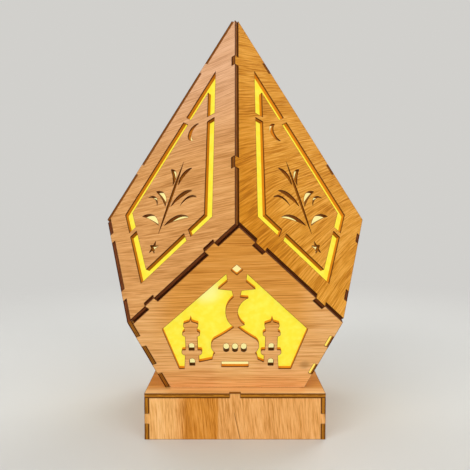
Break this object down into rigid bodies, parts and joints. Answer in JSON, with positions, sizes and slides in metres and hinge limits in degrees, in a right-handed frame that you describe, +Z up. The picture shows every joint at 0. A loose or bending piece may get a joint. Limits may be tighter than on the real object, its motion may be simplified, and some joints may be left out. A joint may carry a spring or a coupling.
{
  "type": "decorative led lamp",
  "caption": "Faceted plywood table lamp: a finger-jointed crystal of pierced panels over glowing sheets, on a box with a rocker switch at the back and a sliding floor.",
  "frame": {"origin": "middle of the box's foot, on the surface it stands on", "axes": "+Z up along the lamp's axis, -Y out of the front, +X to the right seen from the front"},
  "size_m": [0.194, 0.194, 0.2926],
  "materials": {
    "oak_plywood": "oiled veneer with laser-darkened edges",
    "plain_wood": "planed",
    "diffuser_sheet": "frosted, lit from behind",
    "circuit_board": "white solder mask",
    "led": "phosphor",
    "black_plastic": "moulded",
    "cell_jacket": "plain sleeve",
    "plated_steel": "nickel plated",
    "switch_plastic": "moulded, satin",
    "red_lead": "insulated wire",
    "black_lead": "insulated wire"
  },
  "bodies": {
    "lamp_body": {"base_back_panel": "oak_plywood", "base_front_panel": "oak_plywood", "base_left_panel": "oak_plywood", "base_right_panel": "oak_plywood", "base_top_panel": "oak_plywood", "battery_cell_1": "cell_jacket", "battery_cell_2": "cell_jacket", "battery_cell_3": "cell_jacket", "battery_contacts": "plated_steel", "battery_holder": "black_plastic", "battery_springs": "plated_steel", "feed_resistors": "black_plastic", "floor_rail_left_lower": "plain_wood", "floor_rail_left_upper": "plain_wood", "floor_rail_right_lower": "plain_wood", "floor_rail_right_upper": "plain_wood", "holder_screws": "plated_steel", "lead_board_to_cells": "black_lead", "lead_cells_to_switch": "red_lead", "lead_switch_to_board": "red_lead", "led_chips": "led", "led_feed_board": "circuit_board", "led_post": "plain_wood", "led_strip_back": "circuit_board", "led_strip_front": "circuit_board", "led_strip_left": "circuit_board", "led_strip_right": "circuit_board", "lower_diffuser_back": "diffuser_sheet", "lower_diffuser_front": "diffuser_sheet", "lower_diffuser_left": "diffuser_sheet", "lower_diffuser_right": "diffuser_sheet", "lower_panel_back": "oak_plywood", "lower_panel_front": "oak_plywood", "lower_panel_left": "oak_plywood", "lower_panel_right": "oak_plywood", "switch_housing": "switch_plastic", "switch_terminals": "plated_steel", "upper_diffuser_back_left": "diffuser_sheet", "upper_diffuser_back_right": "diffuser_sheet", "upper_diffuser_front_left": "diffuser_sheet", "upper_diffuser_front_right": "diffuser_sheet", "upper_panel_back_left": "oak_plywood", "upper_panel_back_right": "oak_plywood", "upper_panel_front_left": "oak_plywood", "upper_panel_front_right": "oak_plywood"},
    "floor_door": {"base_floor_door": "oak_plywood"},
    "rocker": {"switch_rocker": "switch_plastic"}
  },
  "joints": [
    {"name": "floor_slide", "type": "slide", "parent": "lamp_body", "child": "floor_door", "axis": [0, 1, 0], "range_m": [0, 0.105]},
    {"name": "rocker_pivot", "type": "hinge", "parent": "lamp_body", "child": "rocker", "pos_m": [0, 0.0606, 0.018], "axis": [0, 0, 1], "range_deg": [0, 20]}
  ]
}
